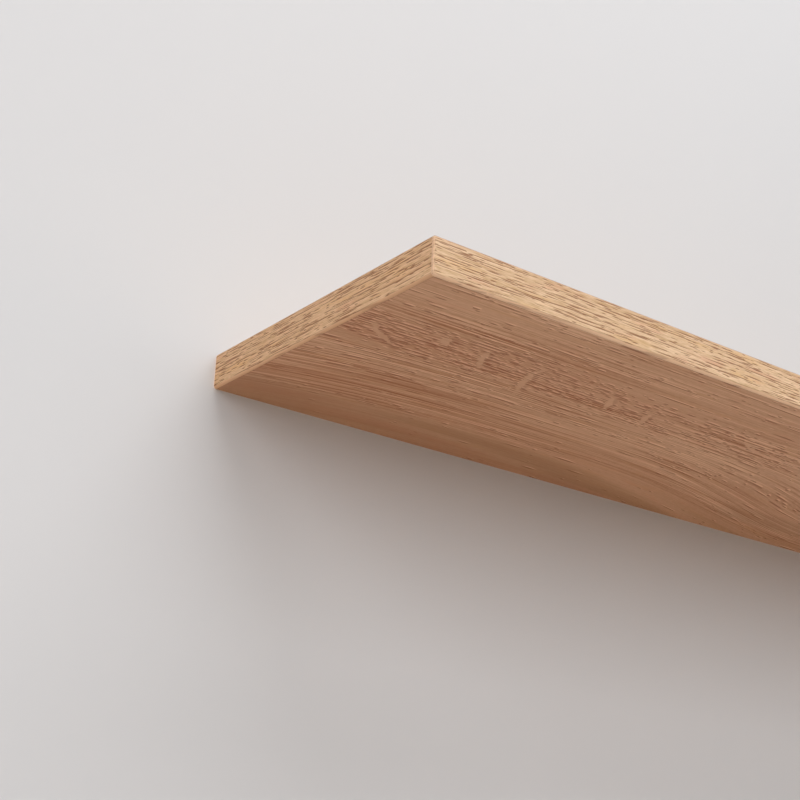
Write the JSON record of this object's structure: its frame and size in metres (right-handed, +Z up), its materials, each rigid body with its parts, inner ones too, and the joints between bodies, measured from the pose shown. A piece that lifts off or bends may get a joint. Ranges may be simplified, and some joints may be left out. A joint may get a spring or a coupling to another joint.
{
  "type": "floating wall shelf",
  "caption": "Straight oak-decor wall shelf board that hides its steel rail bracket in a groove in its back edge.",
  "frame": {"origin": "on the wall's surface, at the middle of the shelf's length and of the board's thickness; the rail's back face", "axes": "+X along the shelf to the right as seen from the room, +Y into the wall, +Z up"},
  "size_m": [0.8, 0.296, 0.025],
  "materials": {
    "oak_laminate": "matt oak decor laminate",
    "oak_edge_band": "satin oak decor edge band",
    "raw_chipboard": "raw chipboard",
    "zinc_plated_steel": "bright zinc plated",
    "yellow_zinc_steel": "yellow passivated zinc",
    "grey_nylon": "moulded nylon",
    "black_nylon": "moulded nylon"
  },
  "bodies": {
    "wall_bracket": {"wall_rail": "zinc_plated_steel", "left_support_rod": "zinc_plated_steel", "right_support_rod": "zinc_plated_steel", "wall_screws": "yellow_zinc_steel", "wall_plugs": "grey_nylon"},
    "board": {"chipboard_core": "raw_chipboard", "top_laminate": "oak_laminate", "underside_laminate": "oak_laminate", "front_edge_band": "oak_edge_band", "left_end_band": "oak_edge_band", "right_end_band": "oak_edge_band", "left_rod_sleeve": "black_nylon", "right_rod_sleeve": "black_nylon"}
  },
  "joints": [
    {"name": "board_slide", "type": "slide", "parent": "wall_bracket", "child": "board", "axis": [0, -1, 0], "range_m": [0, 0.16]}
  ]
}
